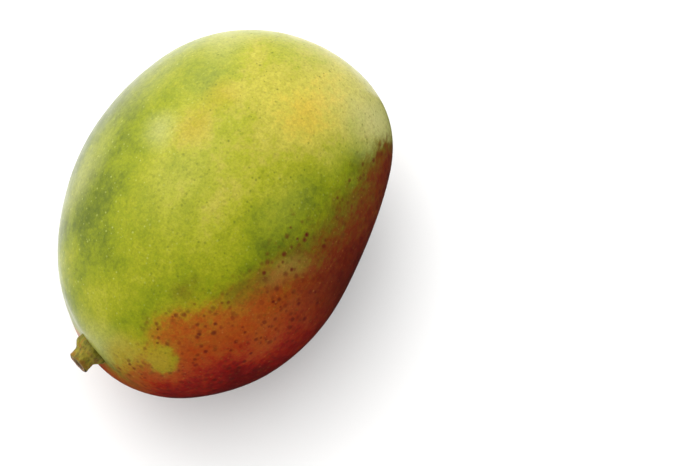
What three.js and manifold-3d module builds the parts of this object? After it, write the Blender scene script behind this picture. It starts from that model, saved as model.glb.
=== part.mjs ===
import * as THREE from 'three';
import { mergeVertices } from 'three/addons/utils/BufferGeometryUtils.js';
import Module from 'manifold-3d';

// A ripe mango, picked with a short stub of its stem, lying on its flatter cheek.
// Millimetres, +Z up. +X runs along the fruit from the stem end to the apex, and +Y is the
// fuller, rounder edge. The origin is on the surface it lies on, under the middle of its box.

// Driving dimensions
const LENGTH = 128.5;          // of the ellipsoid that the fruit grows from, along X
const WIDTH = 97;              // across the two edges, along Y
const THICKNESS = 87;          // from cheek to cheek, along Z
const FLAT_DEPTH = 0.8;        // how far the resting cheek is flattened

// How the girth leaves an ellipsoid's, from -1 at the stem end to 1 at the apex
const APEX_FULLNESS = 0.13;    // odd part: the apex is blunter than the stem end
const END_FULLNESS = 0.08;     // even part: both ends are a little full

// The middle line, in millimetres towards +Y
const LINE_SHIFT = 0.65;       // at mid length
const LINE_SLOPE = 4.3;        // the lean of the belly
const LINE_BOW = -3.05;        // both ends bend towards -Y
const LINE_HOOK = -6.2;        // and the apex further, as a blunt beak

// The saddle between the two shoulders, which the stem stands in
const SADDLE_Y = 8;
const SADDLE_DEPTH = 4.2;
const SADDLE_HALF_LENGTH = 19; // along Y
const SADDLE_HALF_WIDTH = 8;   // along Z

// The stem stub, whose foot the saddle hides
const CUT_X = -65.5;           // the middle of its cut end
const CUT_Y = 9.3;
const STEM_LEAN = 0.17;        // radians that it leans towards +Y
const STEM_LENGTH = 12;        // before its foot is cut to the skin
const COLLAR_LENGTH = 6;
const COLLAR_RADIUS = 5.6;
const NECK_RADIUS = 3.8;
const CUT_BEVEL = 0.3;
const GAP = 0.3;               // between the stem's foot and the skin

const STEPS_ALONG = 36;
const STEPS_AROUND = 48;
const STEM_STEPS = 24;
const FLARE_STEPS = 5;
const MERGE = 1e-4;            // corners nearer than this are one

const skinMaterial = new THREE.MeshStandardMaterial({ color: 0xa5a33a, roughness: 0.35, metalness: 0 });
const stemMaterial = new THREE.MeshStandardMaterial({ color: 0x76692c, roughness: 0.75, metalness: 0 });

// Moves a point of the unit sphere to the skin, which stands "grown" millimetres proud.
function toSkin(point, grown) {
  const along = point.x;
  const girth = 1 + APEX_FULLNESS * along ** 3 + END_FULLNESS * along ** 4;
  const middleLine = LINE_SHIFT + LINE_SLOPE * along + LINE_BOW * along ** 2 + LINE_HOOK * along ** 3;
  const y = (WIDTH / 2 + grown) * girth * point.y + middleLine;
  const z = (THICKNESS / 2 + grown) * girth * point.z;
  let x = (LENGTH / 2 + grown) * along;
  if (along < 0) {
    const reach = ((y - SADDLE_Y) / SADDLE_HALF_LENGTH) ** 2 + (z / SADDLE_HALF_WIDTH) ** 2;
    x += SADDLE_DEPTH * Math.exp(-reach);
  }
  const rest = FLAT_DEPTH - THICKNESS / 2;
  return point.set(x, y, Math.max(z, rest - grown));
}

// A sphere with its poles at the stem end and the apex, drawn out to the fruit's shape.
function fruitGeometry(grown) {
  const sphere = new THREE.SphereGeometry(1, STEPS_AROUND, STEPS_ALONG);
  sphere.rotateZ(-Math.PI / 2);
  const geometry = shareVertices(sphere);
  const position = geometry.attributes.position;
  const point = new THREE.Vector3();
  for (let i = 0; i < position.count; i++) {
    point.fromBufferAttribute(position, i);
    toSkin(point.normalize(), grown);
    position.setXYZ(i, point.x, point.y, point.z);
  }
  geometry.computeVertexNormals();
  return geometry;
}

// The whole stub as a turned form: a collar, a waist that flares into it and a bevelled cut end.
function stemGeometry() {
  const flare = new THREE.CubicBezierCurve(
    new THREE.Vector2(COLLAR_RADIUS, COLLAR_LENGTH),
    new THREE.Vector2(COLLAR_RADIUS * 0.9, COLLAR_LENGTH + 1.2),
    new THREE.Vector2(NECK_RADIUS, COLLAR_LENGTH + 2),
    new THREE.Vector2(NECK_RADIUS, STEM_LENGTH - CUT_BEVEL),
  );
  const profile = [
    new THREE.Vector2(0, 0),
    new THREE.Vector2(COLLAR_RADIUS, 0),
    ...flare.getPoints(FLARE_STEPS),
    new THREE.Vector2(NECK_RADIUS - CUT_BEVEL, STEM_LENGTH),
    new THREE.Vector2(0, STEM_LENGTH),
  ];
  const lathe = new THREE.LatheGeometry(profile, STEM_STEPS);
  lathe.translate(0, -STEM_LENGTH, 0);
  lathe.rotateZ(Math.PI / 2 - STEM_LEAN);
  lathe.translate(CUT_X, CUT_Y, 0);
  return shareVertices(lathe);
}

// Drops the normals and uvs, so that neighbouring triangles share their corners.
function shareVertices(geometry) {
  geometry.deleteAttribute('normal');
  geometry.deleteAttribute('uv');
  return mergeVertices(geometry, MERGE);
}

function toSolid(geometry) {
  const vertProperties = new Float32Array(geometry.attributes.position.array);
  const triVerts = new Uint32Array(geometry.index.array);
  return new wasm.Manifold(new wasm.Mesh({ numProp: 3, vertProperties, triVerts }));
}

function toGeometry(solid) {
  const mesh = solid.getMesh();
  const geometry = new THREE.BufferGeometry();
  geometry.setAttribute('position', new THREE.BufferAttribute(mesh.vertProperties, 3));
  geometry.setIndex(new THREE.BufferAttribute(mesh.triVerts, 1));
  geometry.computeVertexNormals();
  return geometry;
}

const wasm = await Module();
wasm.setup();

const fruit = new THREE.Mesh(fruitGeometry(0), skinMaterial);
fruit.name = 'fruit';

// The foot of the stub takes the skin's own shape, a gap away from it.
const stub = toSolid(stemGeometry()).subtract(toSolid(fruitGeometry(GAP)));
const stem = new THREE.Mesh(toGeometry(stub), stemMaterial);
stem.name = 'stem';

const group = new THREE.Group();
group.add(fruit, stem);

const box = new THREE.Box3().setFromObject(group);
const middle = box.getCenter(new THREE.Vector3());
group.position.set(-middle.x, -middle.y, -box.min.z);

export default group;
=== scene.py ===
"""A whole mango lying on its flatter cheek, in a plain white studio. Lengths are in metres, or in
millimetres where a name ends in _mm. +X runs from the stem end to the apex and +Y to the green edge."""

import math

import bmesh
import bpy
from mathutils import Matrix, Vector, noise


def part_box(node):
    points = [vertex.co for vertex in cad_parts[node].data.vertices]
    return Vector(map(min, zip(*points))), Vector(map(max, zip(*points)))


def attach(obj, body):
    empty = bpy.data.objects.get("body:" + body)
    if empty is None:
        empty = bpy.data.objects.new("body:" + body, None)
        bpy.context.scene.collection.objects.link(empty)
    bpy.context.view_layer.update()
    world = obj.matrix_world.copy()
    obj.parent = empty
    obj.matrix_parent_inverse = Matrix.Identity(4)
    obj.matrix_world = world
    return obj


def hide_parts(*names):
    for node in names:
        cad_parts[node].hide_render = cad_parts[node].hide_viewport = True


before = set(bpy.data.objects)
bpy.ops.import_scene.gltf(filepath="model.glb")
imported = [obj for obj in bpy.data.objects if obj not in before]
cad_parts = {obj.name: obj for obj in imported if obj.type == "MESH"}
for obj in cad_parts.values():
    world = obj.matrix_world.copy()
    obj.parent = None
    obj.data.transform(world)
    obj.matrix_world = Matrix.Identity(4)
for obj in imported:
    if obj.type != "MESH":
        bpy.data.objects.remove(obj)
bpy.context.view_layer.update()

MM = 0.001

# The fruit's shape, as the CAD solid has it, in millimetres
HALF_LENGTH_MM = 64.25
HALF_WIDTH_MM = 48.5
HALF_THICKNESS_MM = 43.5
FLAT_DEPTH_MM = 0.8
APEX_FULLNESS = 0.13
END_FULLNESS = 0.08
LINE_SHIFT_MM = 0.65
LINE_SLOPE_MM = 4.3
LINE_BOW_MM = -3.05
LINE_HOOK_MM = -6.2
SADDLE_Y_MM = 8
SADDLE_DEPTH_MM = 4.2
SADDLE_HALF_LENGTH_MM = 19
SADDLE_HALF_WIDTH_MM = 8
SHOULDER_Y_MM = 12          # the shoulder on the upper cheek stands a little lower than the other
SHOULDER_HALF_LENGTH_MM = 24
SHOULDER_DROP_MM = 1.7

# The stem stub
CUT_MM = (-65.5, 9.3, 0)
STEM_LEAN = 0.17
STEM_LENGTH_MM = 12
STEM_RADIUS_MM = 3.75
STEM_SEGMENTS = 72
BARK_RING_MM = 0.15     # the height between two rings of the bark
BARK_RINGS = 78

SKIN_CUTS = 79              # the sphere starts as a cube whose edges are cut this often
FLAT_SOFTNESS_MM = 0.35     # over which the flattened cheek rounds into the rest
BROAD_SWELL_MM = 0.55
FINE_SWELL_MM = 0.12

LOW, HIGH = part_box("fruit")
MIDDLE = Vector(
    (
        HIGH.x - HALF_LENGTH_MM * MM,
        (LOW.y + HIGH.y) / 2 - LINE_SHIFT_MM * MM,
        LOW.z + (HALF_THICKNESS_MM - FLAT_DEPTH_MM) * MM,
    )
)


def smoothstep(low, high, value):
    """0 below low, 1 above high and an even curve between."""
    share = min(1, max(0, (value - low) / (high - low)))
    return share * share * (3 - 2 * share)


# ---------------------------------------------------------------- shapes


def skin_point(direction):
    """Where a direction from the middle of the fruit meets its skin, in millimetres from the middle."""
    along = direction.x
    girth = 1 + APEX_FULLNESS * along**3 + END_FULLNESS * along**4
    line = LINE_SHIFT_MM + LINE_SLOPE_MM * along + LINE_BOW_MM * along**2 + LINE_HOOK_MM * along**3
    y = HALF_WIDTH_MM * girth * direction.y + line
    z = HALF_THICKNESS_MM * girth * direction.z
    x = HALF_LENGTH_MM * along
    if along < 0:
        reach = ((y - SADDLE_Y_MM) / SADDLE_HALF_LENGTH_MM) ** 2 + (z / SADDLE_HALF_WIDTH_MM) ** 2
        x += SADDLE_DEPTH_MM * math.exp(-reach)
        drop = math.exp(-(((y - SHOULDER_Y_MM) / SHOULDER_HALF_LENGTH_MM) ** 2)) * smoothstep(-4, 9, z)
        x += SHOULDER_DROP_MM * drop * smoothstep(-0.45, -0.9, along)
    return Vector((x, y, z))


def uneven(point):
    """The slow unevenness of grown skin, in millimetres outwards."""
    broad = noise.noise(point / 34 + Vector((3, 1, 7)))
    fine = noise.noise(point / 13 + Vector((9, 4, 2)))
    return BROAD_SWELL_MM * broad + FINE_SWELL_MM * fine


def rest_on_floor(z):
    """Flattens the resting cheek with a soft edge."""
    rest = FLAT_DEPTH_MM - HALF_THICKNESS_MM
    above = z - rest
    return rest + (above + math.hypot(above, FLAT_SOFTNESS_MM)) / 2


def finish_piece(bm, name, slot, materials, *nodes):
    """Makes the object of a bmesh in millimetres about the fruit's middle, and puts it in the frame."""
    bmesh.ops.scale(bm, vec=Vector((MM, MM, MM)), verts=bm.verts)
    bmesh.ops.translate(bm, vec=MIDDLE, verts=bm.verts)
    for face in bm.faces:
        face.smooth = True
    mesh = bpy.data.meshes.new(name)
    bm.to_mesh(mesh)
    bm.free()
    for material in materials:
        mesh.materials.append(material)
    piece = bpy.data.objects.new(name, mesh)
    bpy.context.scene.collection.objects.link(piece)
    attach(piece, "root")
    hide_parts(*nodes)
    return piece


def fruit():
    """The skin: a cube cut fine, blown up to a sphere and drawn out to the mango's form."""
    bm = bmesh.new()
    bmesh.ops.create_cube(bm, size=2)
    bmesh.ops.subdivide_edges(bm, edges=bm.edges, cuts=SKIN_CUTS, use_grid_fill=True)
    for vert in bm.verts:
        direction = vert.co.normalized()
        point = skin_point(direction)
        point += direction * uneven(point)
        point.z = rest_on_floor(point.z)
        vert.co = point
    return finish_piece(bm, "mango_skin", "skin", [waxy_skin()], "fruit")


def stem_radius(height):
    """The stub's radius at a height above its foot, in millimetres."""
    flare = 1 - smoothstep(5.4, 9.2, height)
    lip = smoothstep(10.6, 11.8, height)
    return STEM_RADIUS_MM + 1.9 * flare + 0.12 * lip


# The scars of the bracts and twigs round the collar: turn in degrees, height, width and how proud, in mm
SCARS = (
    (62, 7.2, 1.5, 1.1),
    (100, 8.6, 0.9, 0.5),
    (150, 6.9, 1.4, 0.8),
    (215, 7.6, 1.1, 0.7),
    (265, 6.6, 1.6, 1.0),
    (318, 8.0, 1.0, 0.6),
    (10, 6.8, 1.2, 0.7),
)


def stem():
    """The woody stub: a turned profile with ridges, collar scars and a sawn end with its pith."""
    bm = bmesh.new()
    heights = [BARK_RING_MM * ring for ring in range(BARK_RINGS)]
    bark = [(stem_radius(height), height) for height in heights]
    rim = [(3.80, 11.75), (3.62, 11.95), (3.40, 12.0), (3.22, 11.88), (3.05, 11.90)]
    sawn_face = [(3.05 - 0.24 * step, 11.92 - 0.012 * step) for step in range(1, 10)]
    pith = [(0.72, 11.66), (0.55, 11.35), (0.25, 11.28), (0, 11.26)]
    profile = bark + rim + sawn_face + pith
    verts = [bm.verts.new((radius, 0, height)) for radius, height in profile]
    edges = [bm.edges.new(pair) for pair in zip(verts, verts[1:])]
    bmesh.ops.spin(
        bm,
        geom=verts + edges,
        angle=math.tau,
        steps=STEM_SEGMENTS,
        use_merge=True,
        axis=(0, 0, 1),
        cent=(0, 0, 0),
    )
    bmesh.ops.remove_doubles(bm, verts=bm.verts, dist=1e-4)
    bmesh.ops.holes_fill(bm, edges=bm.edges, sides=0)
    bmesh.ops.recalc_face_normals(bm, faces=bm.faces)
    for vert in bm.verts:
        vert.co = grown_stem(vert.co)
    axis = Vector((-math.cos(STEM_LEAN), math.sin(STEM_LEAN), 0))
    foot = Vector(CUT_MM) - axis * STEM_LENGTH_MM
    bmesh.ops.rotate(bm, matrix=axis.to_track_quat("Z", "Y").to_matrix(), verts=bm.verts)
    bmesh.ops.translate(bm, vec=foot, verts=bm.verts)
    return finish_piece(bm, "stem_stub", "stem", [green_bark()], "stem")


def grown_stem(co):
    """Moves a turned point to where ridges, scars and the slanting saw cut put it."""
    radius = math.hypot(co.x, co.y)
    if radius < 1e-4:
        return co
    turn = math.atan2(co.y, co.x)
    outward = Vector((co.x / radius, co.y / radius, 0))
    share = smoothstep(2.2, 3.7, radius)
    ridges = 0.10 * math.sin(5 * turn + 0.3) + 0.07 * math.sin(9 * turn + 1.1 + 0.12 * co.z)
    rough = 0.16 * noise.noise(Vector((co.x, co.y, co.z * 0.45)) * 0.9)
    rough += 0.06 * noise.noise(Vector((co.x, co.y, co.z * 0.5)) * 2.6)
    proud = ridges + rough
    for degrees, height, width, rise in SCARS:
        across = math.remainder(turn - math.radians(degrees), math.tau) * radius
        distance = math.hypot(across, (co.z - height) * 1.3)
        proud += rise * math.exp(-((distance / width) ** 2))
        proud -= 0.5 * rise * math.exp(-((distance / (0.42 * width)) ** 2))
    sawn = 0.10 * noise.noise(co * 0.7 + Vector((5, 5, 5))) * smoothstep(11.0, 11.9, co.z)
    slant = (0.05 * co.x - 0.13 * co.y) * smoothstep(9.5, STEM_LENGTH_MM, co.z)
    return co + outward * proud * share + Vector((0, 0, sawn + slant))


# ---------------------------------------------------------------- materials


def colour(hex_code):
    """An sRGB hex colour as linear red, green, blue and alpha."""
    parts = [int(hex_code[i : i + 2], 16) / 255 for i in (1, 3, 5)]
    linear = [p / 12.92 if p <= 0.04045 else ((p + 0.055) / 1.055) ** 2.4 for p in parts]
    return (*linear, 1)


def node(tree, kind, inputs=None, **settings):
    """Adds a node, sets its settings, and gives each named or numbered input a value or a link."""
    made = tree.nodes.new(kind)
    for key, value in settings.items():
        setattr(made, key, value)
    for key, value in (inputs or {}).items():
        if isinstance(value, bpy.types.NodeSocket):
            tree.links.new(value, made.inputs[key])
        else:
            made.inputs[key].default_value = value
    return made


def new_material(name):
    """An empty material with its tree, its Principled shader and its output joined."""
    material = bpy.data.materials.new(name)
    material.use_nodes = True
    tree = material.node_tree
    tree.nodes.clear()
    shader = node(tree, "ShaderNodeBsdfPrincipled")
    node(tree, "ShaderNodeOutputMaterial", {"Surface": shader.outputs[0]})
    return material, tree, shader


def body_mm(tree):
    """Object coordinates turned to millimetres from the middle of the fruit."""
    place = node(tree, "ShaderNodeTexCoord").outputs["Object"]
    scale = 1 / MM
    inputs = {"Vector": place, "Location": -MIDDLE * scale, "Scale": (scale, scale, scale)}
    return node(tree, "ShaderNodeMapping", inputs, vector_type="POINT").outputs[0]


def math_of(tree, operation, *values):
    """One step of arithmetic on numbers or sockets."""
    return node(tree, "ShaderNodeMath", dict(enumerate(values)), operation=operation).outputs[0]


def remap(tree, value, low, high, to_low=0.0, to_high=1.0):
    """A soft step of value from low to high."""
    inputs = {"Value": value, "From Min": low, "From Max": high, "To Min": to_low, "To Max": to_high}
    return node(tree, "ShaderNodeMapRange", inputs, interpolation_type="SMOOTHSTEP").outputs[0]


def remap_straight(tree, value, low, high, to_low, to_high):
    """A straight, clamped change of scale from low..high to to_low..to_high."""
    inputs = {"Value": value, "From Min": low, "From Max": high, "To Min": to_low, "To Max": to_high}
    return node(tree, "ShaderNodeMapRange", inputs).outputs[0]


def cloud(tree, place, size_mm, detail=3, roughness=0.5, shift=0, output="Factor"):
    """Noise whose features are about size_mm across, from 0 to 1."""
    moved = node(tree, "ShaderNodeVectorMath", {0: place, 1: (shift, -shift, shift)}).outputs[0]
    inputs = {"Vector": moved, "Scale": 1 / size_mm, "Detail": detail, "Roughness": roughness}
    made = node(tree, "ShaderNodeTexNoise", inputs, noise_dimensions="3D")
    return made.outputs[0] if output == "Factor" else made.outputs["Color"]


def stirred(tree, place, size_mm, reach_mm, shift=0):
    """The place moved about by up to reach_mm, so that what is laid on it has a grown outline."""
    swirl = cloud(tree, place, size_mm, detail=2, shift=shift, output="Color")
    centred = node(tree, "ShaderNodeVectorMath", {0: swirl, 1: (0.5, 0.5, 0.5)}, operation="SUBTRACT")
    inputs = {0: centred.outputs[0], 1: (2 * reach_mm,) * 3, 2: place}
    return node(tree, "ShaderNodeVectorMath", inputs, operation="MULTIPLY_ADD").outputs[0]


def patches(tree, place, dabs):
    """The sum of soft ellipsoid dabs: centre and radii in millimetres, turn in degrees, and strength."""
    total = 0.0
    for centre, radii, turn, strength in dabs:
        inputs = {
            "Vector": place,
            "Location": centre,
            "Rotation": (0, 0, math.radians(turn)),
            "Scale": radii,
        }
        local = node(tree, "ShaderNodeMapping", inputs, vector_type="TEXTURE").outputs[0]
        reach = node(tree, "ShaderNodeVectorMath", {0: local}, operation="LENGTH").outputs["Value"]
        dab = remap(tree, reach, 1.0, 0.0, 0.0, strength)
        total = math_of(tree, "ADD", dab, total)
    return total


def ramp(tree, value, stops):
    """A colour ramp of (position, hex colour) stops."""
    made = node(tree, "ShaderNodeValToRGB", {"Fac": value})
    elements = made.color_ramp.elements
    while len(elements) < len(stops):
        elements.new(0.5)
    for element, (position, hex_code) in zip(elements, stops):
        element.position = position
        element.color = colour(hex_code)
    return made.outputs["Color"]


def blend(tree, share, below, above, mode="MIX"):
    """Mixes colour above over colour below by share."""
    made = node(tree, "ShaderNodeMix", data_type="RGBA", blend_type=mode)
    for key, value in ((0, share), (6, below), (7, above)):
        if isinstance(value, bpy.types.NodeSocket):
            tree.links.new(value, made.inputs[key])
        else:
            made.inputs[key].default_value = value
    return made.outputs[2]


def curve_of(tree, value, from_range, to_range, points):
    """A smooth curve through (value, result) points, both in millimetres."""
    share = remap_straight(tree, value, *from_range, 0.0, 1.0)
    made = node(tree, "ShaderNodeFloatCurve", {"Value": share})
    curve = made.mapping.curves[0]
    while len(curve.points) < len(points):
        curve.points.new(0.5, 0.5)
    for spot, (along, result) in zip(curve.points, points):
        spot.location = (
            (along - from_range[0]) / (from_range[1] - from_range[0]),
            (result - to_range[0]) / (to_range[1] - to_range[0]),
        )
    made.mapping.update()
    return remap_straight(tree, made.outputs[0], 0.0, 1.0, *to_range)


def specks(tree, place, spacing_mm, radius_mm, share, shift=0):
    """A mask of round soft dots, where the middles of cells lie near the skin."""
    moved = node(tree, "ShaderNodeVectorMath", {0: place, 1: (shift, shift, -shift)}).outputs[0]
    cells = node(tree, "ShaderNodeTexVoronoi", {"Vector": moved, "Scale": 1 / spacing_mm})
    distance = math_of(tree, "MULTIPLY", cells.outputs["Distance"], spacing_mm)
    pick = node(tree, "ShaderNodeSeparateColor", {0: cells.outputs["Color"]})
    chosen = math_of(tree, "LESS_THAN", pick.outputs[0], share)
    size = remap(tree, pick.outputs[1], 0.0, 1.0, 0.65, 1.25)
    edge = math_of(tree, "DIVIDE", distance, size)
    dot = remap(tree, edge, radius_mm, 0.25 * radius_mm)
    faint = remap(tree, pick.outputs[2], 0.0, 1.0, 0.5, 1.0)
    return math_of(tree, "MULTIPLY", math_of(tree, "MULTIPLY", dot, chosen), faint)


# Soft dabs on the skin: centre and radii in millimetres, turn in degrees, and strength. The upper cheek
# is where z is above 0.

# Riper above 0, greener below
RIPE_DABS = (
    ((-33, 21, 30), (24, 18, 30), 15, -0.20),   # the green shoulder
    ((-16, 29, 26), (28, 12, 30), -8, -0.10),
    ((0, 29, 30), (9, 7, 20), 0, -0.16),
    ((-26, -9, 40), (9, 7, 16), 0, -0.14),
    ((30, 21, 30), (20, 11, 26), 0, -0.20),
    ((16, -30, 28), (20, 6, 20), 0, 0.15),
    ((38, 23, 28), (20, 9, 24), -10, -0.14),
    ((1, -26, 34), (40, 13, 24), 2, -0.26),     # the green band above the blush
    ((-4, -18, 38), (15, 7, 20), 10, -0.12),
    ((28, -31, 26), (24, 9, 22), 0, -0.22),
    ((-44, -4, 28), (13, 8, 22), 0, -0.18),
    ((-24, -13, 38), (22, 8, 20), -10, 0.12),   # lime along the edge of the blush
    ((12, 16, 40), (15, 9, 22), 0, 0.22),       # the gold patches
    ((31, 10, 36), (20, 11, 22), 12, 0.14),
    ((36, -11, 34), (27, 20, 26), 0, 0.38),
    ((50, -20, 22), (18, 14, 26), 0, 0.18),
    ((-47, 11, 26), (17, 10, 22), 30, 0.30),
    ((-53, -6, 20), (12, 8, 20), 0, 0.25),
    ((-52, -15, 22), (11, 12, 22), -10, 0.42),
    ((-8, -5, 42), (18, 8, 22), 0, 0.10),
    ((6, -4, 42), (20, 8, 22), 0, 0.08),
    ((30, 34, -24), (44, 34, 30), 0, 0.30),
    ((-14, 40, 18), (28, 9, 26), 0, 0.22),
    ((-27, 34, 22), (9, 6, 20), 0, 0.12),
    # painted shade: this dab makes the upper rim near the apex greener and darker
    ((52, 6, 24), (14, 15, 24), 0, -0.22),
    ((23, 8, 37), (14, 9, 20), 0, -0.17),
    ((-43, 29, 16), (12, 9, 20), 0, 0.32),
    ((-42, 4, 30), (9, 8, 18), 0, 0.08),
    ((46, -28, 22), (9, 6, 20), 0, 0.25),
)

# Painted sheen: pale patches laid where the broad shine, the haze near the apex and the rim reflections
# fall
PAINTED_SHEEN_DABS = (
    ((-3, 10, 42), (28, 20, 26), 0, 0.08),
    ((-59, -2, 14), (11, 34, 20), 0, 0.35),
    ((6, 24, 36), (11, 8, 20), 0, 0.34),
    ((60, -10, 0), (26, 46, 70), 0, 0.22),
    ((51, -28, 18), (20, 15, 30), 0, 0.60),
    ((46, 26, 22), (17, 11, 24), 0, 0.30),
    ((46, -16, 26), (14, 12, 24), 0, 0.15),
    ((8, -21, 36), (20, 10, 20), 0, 0.05),
    ((34, -23, 30), (15, 9, 20), 0, 0.08),
    ((30, 22, 30), (22, 12, 26), 0, 0.10),
    ((-18, 39, 18), (28, 10, 26), 0, 0.30),
    ((26, 40, 18), (40, 16, 30), -6, 0.22),
)

# The red edge on the upper cheek, as x and y in millimetres
BLUSH_EDGE = (
    (-64, -3), (-56, -6), (-42, -11), (-34, -17), (-26, -23), (-16, -28), (-4, -32), (10, -34.5),
    (28, -34.5), (38, -33), (48, -32.5), (56, -37), (64, -41),
)

# How far each dab pushes the red edge out, in millimetres
BLUSH_DABS = (
    ((-51.5, -17, 23), (7, 8, 18), 15, -20),    # a golden tongue below the stem
    ((-52.5, -8, 22), (8, 9, 18), 15, -4),
    ((-59, -26, 6), (12, 14, 24), 0, 6),
    ((-31, -38, 20), (13, 8, 22), 0, -5),
    ((-40, -28, 26), (12, 9, 20), 0, -3.5),
    ((46, -38, 14), (17, 7, 22), 0, 6),
    ((-60, -19, 8), (8, 11, 24), 0, 6),
    ((-43, -12, 30), (10, 7, 20), -30, 2.5),
    ((-58, 14, -10), (12, 30, 18), 0, 30),      # the back shoulder
    ((-14, -31, 30), (14, 8, 20), 0, 4),
)

# Golden skin
GOLD_DABS = (
    ((-52, -15, 22), (10, 12, 20), 12, 1.3),
    ((-55, -5, 16), (8, 11, 18), 12, 0.8),
    ((13, 16, 40), (13, 8, 18), 10, 0.5),
    ((26, 14.5, 36), (9, 7, 18), 0, 0.45),
    ((35, -9, 36), (12, 9, 18), 0, 0.25),
)

# Where green and red mix to brown
MUDDY_DABS = (
    ((-17, -28, 36), (18, 6.5, 16), -26, 0.9),
    ((-1, -32, 33), (9, 5, 16), -20, 0.7),
    ((-32, -11, 38), (9, 5, 16), -25, 0.7),
)

# A dull spot on the edge of the blush
DUSTY_DABS = (((-7, -33, 32), (14, 5, 16), -25, 0.42),)

# Where maroon pores stand outside the blush
DOTTED_DABS = (((0, -28, 34), (14, 9, 22), 0, 1.3),)

PEEL_IOR = 1.45
WAX_IOR = 1.2               # a broken film of wax mirrors less than a whole one
BLUSH_RAMP_MM = 30          # the blush deepens over this much,
BLUSH_RAMP_LEAD_MM = 4      # and starts this far outside its edge
DIMPLE_MM = 0.10
PEEL_GRAIN_MM = 0.018
PORE_RISE_MM = 0.015


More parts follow.
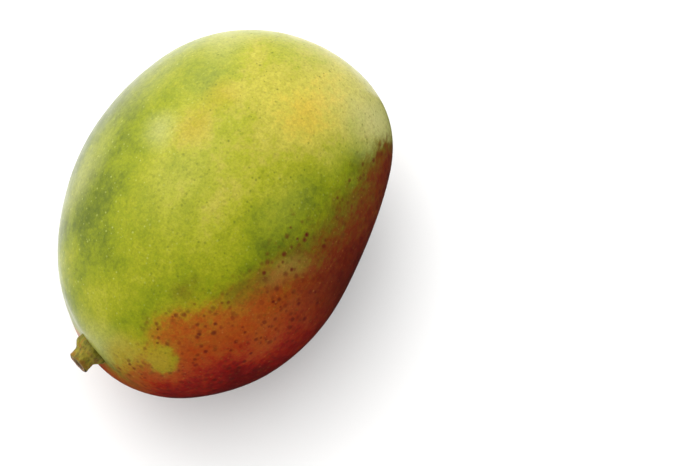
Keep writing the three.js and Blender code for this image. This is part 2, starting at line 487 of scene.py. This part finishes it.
def waxy_skin():
    """Mango skin, a leathery peel under a thin wax: cloudy green and gold with a red blush, a dot at
    each breathing pore, a soft broad shine with painted sheen patches, and a pale rim where the wax
    mirrors the room, partly from the coat and partly a painted reflection."""
    material, tree, shader = new_material("waxy_mango_skin")
    place = body_mm(tree)
    stir = stirred(tree, place, 11, 3.0)
    x, y, z = node(tree, "ShaderNodeSeparateXYZ", {0: place}).outputs

    # Ripeness from green at 0 to gold at 1: more towards the apex, less towards both edges
    off_middle = math_of(tree, "SUBTRACT", y, 2.0)
    edges = math_of(tree, "MULTIPLY", math_of(tree, "MULTIPLY", off_middle, off_middle), -0.00035)
    ripe = math_of(tree, "MULTIPLY_ADD", x, 0.0042, 0.50)
    ripe = math_of(tree, "ADD", ripe, edges)
    ripe = math_of(tree, "ADD", ripe, patches(tree, stir, RIPE_DABS))
    drift = remap(tree, cloud(tree, place, 9, detail=3, shift=31), 0.3, 0.7, -0.10, 0.10)
    mottle = remap(tree, cloud(tree, place, 2.2, detail=4, roughness=0.6, shift=57), 0.3, 0.7, -0.09, 0.09)
    ripe = math_of(tree, "ADD", math_of(tree, "ADD", ripe, drift), mottle)
    ground = ramp(
        tree,
        math_of(tree, "MULTIPLY_ADD", ripe, 0.8, 0.15),
        (
            (0.0, "#4e5a01"),
            (0.15, "#616c01"),
            (0.31, "#778001"),
            (0.47, "#868a09"),
            (0.59, "#91921b"),
            (0.69, "#9a942d"),
            (0.79, "#a59d36"),
            (1.0, "#b8a138"),
        ),
    )
    # painted sheen: pale haze and rim reflections laid into the ground colour
    ground = blend(tree, patches(tree, stir, PAINTED_SHEEN_DABS), ground, colour("#b4b078"))

    inside = inside_blush(tree, place)
    softness = remap(tree, x, 14.0, 36.0, 5.0, 2.6)
    cover = remap(tree, math_of(tree, "DIVIDE", inside, softness), -1.5, 0.7)
    blotches = remap(tree, cloud(tree, place, 5, detail=4, roughness=0.6, shift=66), 0.3, 0.7, -1.8, 1.8)
    veins = remap(tree, cloud(tree, place, 1.7, detail=3, roughness=0.6, shift=19), 0.3, 0.7, -1.6, 1.6)
    depth = math_of(tree, "ADD", math_of(tree, "ADD", inside, blotches), veins)
    lead = BLUSH_RAMP_LEAD_MM / BLUSH_RAMP_MM
    deepening = math_of(tree, "MULTIPLY_ADD", depth, 1 / BLUSH_RAMP_MM, lead)
    flush = ramp(
        tree,
        deepening,
        (
            (0.0, "#8f7f0e"),
            (0.13, "#94700e"),
            (0.26, "#965a0f"),
            (0.40, "#98480c"),
            (0.60, "#9a3b06"),
            (0.72, "#942702"),
            (0.83, "#860d01"),
            (1.0, "#660202"),
        ),
    )
    # Towards the apex the blush turns darker and browner. This is partly its own colour and partly painted
    # shade along the low red edge.
    browner_and_shaded_flush = ramp(
        tree,
        deepening,
        (
            (0.0, "#6c6206"),
            (0.13, "#665003"),
            (0.24, "#6a3d02"),
            (0.36, "#6c2402"),
            (0.50, "#5a0d01"),
            (0.75, "#400300"),
        ),
    )
    flush = blend(tree, remap(tree, x, -30.0, 8.0), flush, browner_and_shaded_flush)
    ground = blend(tree, patches(tree, stir, GOLD_DABS), ground, colour("#9a8313"))
    base = blend(tree, cover, ground, flush)
    smudge = remap(tree, cloud(tree, place, 4, detail=4, roughness=0.6, shift=71), 0.38, 0.62, 0.3, 0.85)
    muddy = math_of(tree, "MULTIPLY", patches(tree, stir, MUDDY_DABS), smudge)
    base = blend(tree, muddy, base, colour("#5c4606"))
    base = blend(tree, patches(tree, stir, DUSTY_DABS), base, colour("#8c7a34"))

    # Grain too fine for the eye to count, drawn a little coarser than it is
    fine = cloud(tree, place, 0.75, detail=3, roughness=0.7, shift=12)
    grain = remap(tree, fine, 0.3, 0.7, 0.87, 1.13)
    grey = node(tree, "ShaderNodeCombineColor", {0: grain, 1: grain, 2: grain}).outputs[0]
    base = blend(tree, 1.0, base, grey, "MULTIPLY")

    base, pores = dotted(tree, place, base, inside, cover)

    # Painted rim reflection: a pale belt round the green side, painted into the colour where the wax
    # mirrors the white room at the edge, and read as a thin dust of wax bloom. The belt leans: it lies
    # higher towards the apex and the green edge.
    belt = math_of(tree, "MULTIPLY_ADD", x, -0.175, math_of(tree, "MULTIPLY_ADD", y, -0.12, z))
    belt_breakup = cloud(tree, place, 7, detail=4, roughness=0.6, shift=45)
    belt = math_of(tree, "ADD", belt, remap(tree, belt_breakup, 0.3, 0.7, -2.5, 2.5))
    above = remap(tree, belt, 20.0, 0.0, 0.0, 0.2)
    painted_rim_reflection = math_of(tree, "MULTIPLY", above, remap(tree, belt, -44.0, 0.0))
    painted_rim_reflection = math_of(tree, "MULTIPLY", painted_rim_reflection, remap(tree, x, 45.0, -30.0, 0.12, 1.0))
    painted_rim_reflection = math_of(tree, "MULTIPLY", painted_rim_reflection, math_of(tree, "SUBTRACT", 1.0, cover))
    base = blend(tree, painted_rim_reflection, base, colour("#c9c9ad"))
    tree.links.new(base, shader.inputs["Base Color"])
    shader.inputs["IOR"].default_value = PEEL_IOR
    shader.inputs["Specular IOR Level"].default_value = 0.12
    shader.inputs["Coat Weight"].default_value = 0.45
    shader.inputs["Coat IOR"].default_value = WAX_IOR
    shader.inputs["Coat Roughness"].default_value = 0.2
    gloss = remap(tree, cloud(tree, place, 5, detail=3, shift=77), 0.3, 0.7, 0.30, 0.42)
    tree.links.new(gloss, shader.inputs["Roughness"])
    skin_relief(tree, shader, place, pores)
    return material


def inside_blush(tree, place):
    """How many millimetres a point lies inside the red edge, which climbs the cheek towards the stem and
    passes the middle on the underside."""
    stir = stirred(tree, place, 10, 1.6, shift=9)
    fine = stirred(tree, stir, 2.6, 1.3, shift=17)
    x, y, z = node(tree, "ShaderNodeSeparateXYZ", {0: fine}).outputs
    edge = curve_of(tree, x, (-64, 64), (-40, 0), BLUSH_EDGE)
    beneath = remap(tree, z, 4.0, -34.0, 0.0, 34.0)
    inside = math_of(tree, "SUBTRACT", math_of(tree, "ADD", edge, beneath), y)
    inside = math_of(tree, "ADD", inside, patches(tree, fine, BLUSH_DABS))
    grown = node(tree, "ShaderNodeMapping", {"Vector": place, "Scale": (0.28, 1, 1)}).outputs[0]
    streaks = cloud(tree, grown, 2.2, detail=4, roughness=0.6, shift=23)
    return math_of(tree, "ADD", inside, remap(tree, streaks, 0.25, 0.75, -1.6, 1.6))


def dotted(tree, place, base, inside, cover):
    """Lays the dots on a base colour: faint freckles all over, dark green flecks, maroon pores in and
    near the blush, and small pale pores. Gives the colour and the mask of the pale pores."""
    x, y, _ = node(tree, "ShaderNodeSeparateXYZ", {0: place}).outputs
    uncovered = math_of(tree, "SUBTRACT", 1.0, cover)
    freckles = specks(tree, place, 1.35, 0.62, 0.6, shift=300)
    base = blend(tree, math_of(tree, "MULTIPLY", freckles, 0.24), base, colour("#3f4a04"))
    flecks = specks(tree, place, 1.8, 0.5, 0.6, shift=100)
    across = math_of(tree, "SUBTRACT", y, math_of(tree, "MULTIPLY", x, 0.4))
    fewer = remap(tree, across, 4.0, 24.0, 1.0, 0.25)
    flecks = math_of(tree, "MULTIPLY", flecks, math_of(tree, "MULTIPLY", fewer, uncovered))
    base = blend(tree, math_of(tree, "MULTIPLY", flecks, 0.62), base, colour("#4a5406"))
    near_blush = math_of(tree, "ADD", remap(tree, inside, -9.0, 1.0), patches(tree, place, DOTTED_DABS))
    crowd = remap(tree, cloud(tree, place, 7, detail=2, shift=88), 0.40, 0.6, 0.45, 1.0)
    spots = specks(tree, place, 2.1, 1.1, 0.85, shift=220)
    spots = math_of(tree, "MULTIPLY", spots, math_of(tree, "MULTIPLY", near_blush, crowd))
    base = blend(tree, math_of(tree, "MULTIPLY", spots, 0.85), base, colour("#520f04"))
    pores = specks(tree, place, 1.7, 0.42, 0.75, shift=40)
    pale = blend(tree, cover, colour("#abb05a"), colour("#b9803a"))
    strength = remap(tree, fewer, 0.25, 1.0, 0.5, 0.25)
    return blend(tree, math_of(tree, "MULTIPLY", pores, strength), base, pale), pores


def skin_relief(tree, shader, place, pores):
    """Slight dimples and raised pores, which break up the shine."""
    dimples = cloud(tree, place, 4.5, detail=2, shift=63)
    peel = cloud(tree, place, 1.1, detail=2, shift=21)
    height = math_of(tree, "MULTIPLY", dimples, DIMPLE_MM)
    height = math_of(tree, "ADD", height, math_of(tree, "MULTIPLY", peel, PEEL_GRAIN_MM))
    height = math_of(tree, "ADD", height, math_of(tree, "MULTIPLY", pores, PORE_RISE_MM))
    bump = node(tree, "ShaderNodeBump", {"Height": height, "Distance": MM, "Strength": 1.0})
    tree.links.new(bump.outputs[0], shader.inputs["Normal"])


def green_bark():
    """The stub's bark, olive and corky brown, with a dark sawn end whose wood shows as a pale ring."""
    material, tree, shader = new_material("green_mango_bark")
    place = node(tree, "ShaderNodeTexCoord").outputs["Object"]
    cut = MIDDLE + Vector(CUT_MM) * MM
    inputs = {"Vector": place, "Location": cut, "Rotation": (0, 0, -STEM_LEAN), "Scale": (MM, MM, MM)}
    local = node(tree, "ShaderNodeMapping", inputs, vector_type="TEXTURE").outputs[0]
    streak_space = node(tree, "ShaderNodeMapping", {"Vector": local, "Scale": (0.35, 1, 1)}).outputs[0]
    x, y, z = node(tree, "ShaderNodeSeparateXYZ", {0: local}).outputs
    streaks = cloud(tree, streak_space, 1.3, detail=4, roughness=0.6)
    bark = ramp(
        tree,
        streaks,
        ((0.30, "#43360a"), (0.45, "#6f6412"), (0.58, "#84791a"), (0.70, "#8a5a16")),
    )
    blotch = remap(tree, cloud(tree, local, 2.6, detail=3, shift=8), 0.48, 0.66)
    bark = blend(tree, math_of(tree, "MULTIPLY", blotch, 0.7), bark, colour("#7a4a10"))
    foot = remap(tree, x, 4.5, 8.0)
    bark = blend(tree, math_of(tree, "MULTIPLY", foot, 0.45), bark, colour("#66701a"))
    flat_space = node(tree, "ShaderNodeCombineXYZ", {1: y, 2: z}).outputs[0]
    radius = node(tree, "ShaderNodeVectorMath", {0: flat_space}, operation="LENGTH").outputs["Value"]
    wander = remap(tree, cloud(tree, local, 0.8, shift=5), 0.2, 0.8, -0.25, 0.25)
    ragged = math_of(tree, "ADD", radius, wander)
    wood = ramp(
        tree,
        math_of(tree, "DIVIDE", ragged, 4.2),
        (
            (0.0, "#1c0f06"),
            (0.16, "#2c190a"),
            (0.30, "#4a2f14"),
            (0.55, "#5c3d1c"),
            (0.70, "#a8875a"),
            (0.78, "#6a4420"),
            (0.86, "#2a180a"),
        ),
    )
    end = remap(tree, x, 0.42, 0.12)
    base = blend(tree, end, bark, wood)
    tree.links.new(base, shader.inputs["Base Color"])
    shader.inputs["IOR"].default_value = PEEL_IOR
    shader.inputs["Specular IOR Level"].default_value = 0.3
    shader.inputs["Roughness"].default_value = 0.7
    fibres = cloud(tree, streak_space, 0.5, detail=3, shift=3)
    bump = node(tree, "ShaderNodeBump", {"Height": fibres, "Distance": 0.25 * MM, "Strength": 0.8})
    tree.links.new(bump.outputs[0], shader.inputs["Normal"])
    return material


def black_felt():
    """Black felt on card, which gives back no light."""
    material, _, shader = new_material("black_felt")
    shader.inputs["Base Color"].default_value = colour("#101010")
    shader.inputs["Roughness"].default_value = 0.95
    return material


def white_paper():
    """Matt white backdrop paper, which shows as an even pale ground with a faint fibre tone."""
    material, tree, shader = new_material("white_backdrop_paper")
    place = node(tree, "ShaderNodeTexCoord").outputs["Object"]
    tone = remap(tree, cloud(tree, place, 0.3, detail=2), 0.2, 0.8, 0.0, 1.0)
    base = blend(tree, tone, colour("#efefee"), colour("#f2f2f1"))
    tree.links.new(base, shader.inputs["Base Color"])
    shader.inputs["Roughness"].default_value = 0.9
    return material


# ---------------------------------------------------------------- studio

AZIMUTH = math.radians(-55.6)
ELEVATION = math.radians(78)
CAMERA_DISTANCE = 0.9
LENS_MM = 143.3
SENSOR_MM = 36
VIEW_RIGHT = 0.0423       # the view's middle is this far right of the fruit's middle
VIEW_DOWN = 0.0060        # and this far below it
FLOOR_HALF = 3.5
FLAG_HALF = 0.4
FLAG_TOP = 0.12           # how high the standing card reaches
FLAG_AWAY = 0.25
CLEAR_OF_FLOOR = 0.001
KEY_SIZE = 1.2
KEY_POWER = 6
TENT_DIM = 0.4
TENT_BRIGHT = 2.3

TOWARDS = Vector((math.sin(AZIMUTH), -math.cos(AZIMUTH), 0))
RIGHT = Vector((math.cos(AZIMUTH), math.sin(AZIMUTH), 0))
UP = Vector((0, 0, 1))


def add_camera():
    """A long lens that looks down on the fruit from the side of its stem."""
    data = bpy.data.cameras.new("camera")
    data.lens = LENS_MM
    data.sensor_width = SENSOR_MM
    camera = bpy.data.objects.new("camera", data)
    bpy.context.scene.collection.objects.link(camera)
    back = TOWARDS * math.cos(ELEVATION) + UP * math.sin(ELEVATION)
    picture_up = back.cross(RIGHT)
    target = MIDDLE + RIGHT * VIEW_RIGHT - picture_up * VIEW_DOWN
    camera.location = target + back * CAMERA_DISTANCE
    camera.rotation_euler = Matrix((RIGHT, picture_up, back)).transposed().to_euler()
    bpy.context.scene.camera = camera


def add_softbox(name, place, size, power):
    """A square area light at place, measured from the fruit's middle, that faces the fruit."""
    data = bpy.data.lights.new(name, "AREA")
    data.shape = "SQUARE"
    data.size = size
    data.energy = power
    light = bpy.data.objects.new(name, data)
    bpy.context.scene.collection.objects.link(light)
    light.location = MIDDLE + place
    light.rotation_euler = place.to_track_quat("Z", "Y").to_euler()


def add_floor():
    """A plain floor of backdrop paper."""
    bm = bmesh.new()
    bmesh.ops.create_grid(bm, x_segments=1, y_segments=1, size=FLOOR_HALF)
    mesh = bpy.data.meshes.new("floor")
    bm.to_mesh(mesh)
    bm.free()
    mesh.materials.append(white_paper())
    floor = bpy.data.objects.new("floor", mesh)
    bpy.context.scene.collection.objects.link(floor)


def add_flag(name, felt, away, start, lift, standing):
    """A black card on the shaded side, lying on the floor or standing, seen only in reflections. It
    keeps the red edge deep."""
    bm = bmesh.new()
    bmesh.ops.create_grid(bm, x_segments=1, y_segments=1, size=FLAG_HALF)
    mesh = bpy.data.meshes.new(name)
    bm.to_mesh(mesh)
    bm.free()
    mesh.materials.append(felt)
    flag = bpy.data.objects.new(name, mesh)
    bpy.context.scene.collection.objects.link(flag)
    away = away.normalized()
    reach = start if standing else start + FLAG_HALF
    turn = away.to_track_quat("Z", "Y") if standing else away.to_track_quat("X", "Z")
    flag.location = Vector((MIDDLE.x, MIDDLE.y, lift)) + away * reach
    flag.rotation_euler = turn.to_euler()
    for seen_by in ("camera", "diffuse", "transmission", "volume_scatter", "shadow"):
        setattr(flag, "visible_" + seen_by, False)


def add_tent(dim, bright):
    """A white tent round the table, lit from past the apex and dim on the near side. It is plain white
    where it is looked at."""
    world = bpy.data.worlds.new("white_tent")
    world.use_nodes = True
    tree = world.node_tree
    direction = node(tree, "ShaderNodeTexCoord").outputs["Generated"]
    lit_side = (-TOWARDS * 0.9 - RIGHT * 0.45 + UP * 0.5).normalized()
    inputs = {0: direction, 1: lit_side}
    facing = node(tree, "ShaderNodeVectorMath", inputs, operation="DOT_PRODUCT").outputs["Value"]
    glow = remap(tree, facing, -0.5, 0.95, dim, bright)
    seen = node(tree, "ShaderNodeLightPath").outputs["Is Camera Ray"]
    seen_or_lit = node(tree, "ShaderNodeMix", {0: seen, 2: glow, 3: 1.0}).outputs[0]
    background = tree.nodes["Background"]
    background.inputs["Color"].default_value = colour("#ffffff")
    tree.links.new(seen_or_lit, background.inputs["Strength"])
    bpy.context.scene.world = world


def studio():
    """Paper, cards, tent, lamp and camera."""
    bpy.context.scene.view_settings.view_transform = "Standard"
    add_floor()
    felt = black_felt()
    lying = TOWARDS * 0.75 + RIGHT * 0.66
    upright = TOWARDS * 0.70 + RIGHT * 0.70
    add_flag("lying_flag", felt, lying, 0, CLEAR_OF_FLOOR, standing=False)
    add_flag("standing_flag", felt, upright, FLAG_AWAY, FLAG_TOP - FLAG_HALF, standing=True)
    add_tent(TENT_DIM, TENT_BRIGHT)
    add_softbox("key", -TOWARDS * 0.95 - RIGHT * 0.45 + UP * 0.95, KEY_SIZE, KEY_POWER)
    add_camera()


fruit()
stem()
studio()
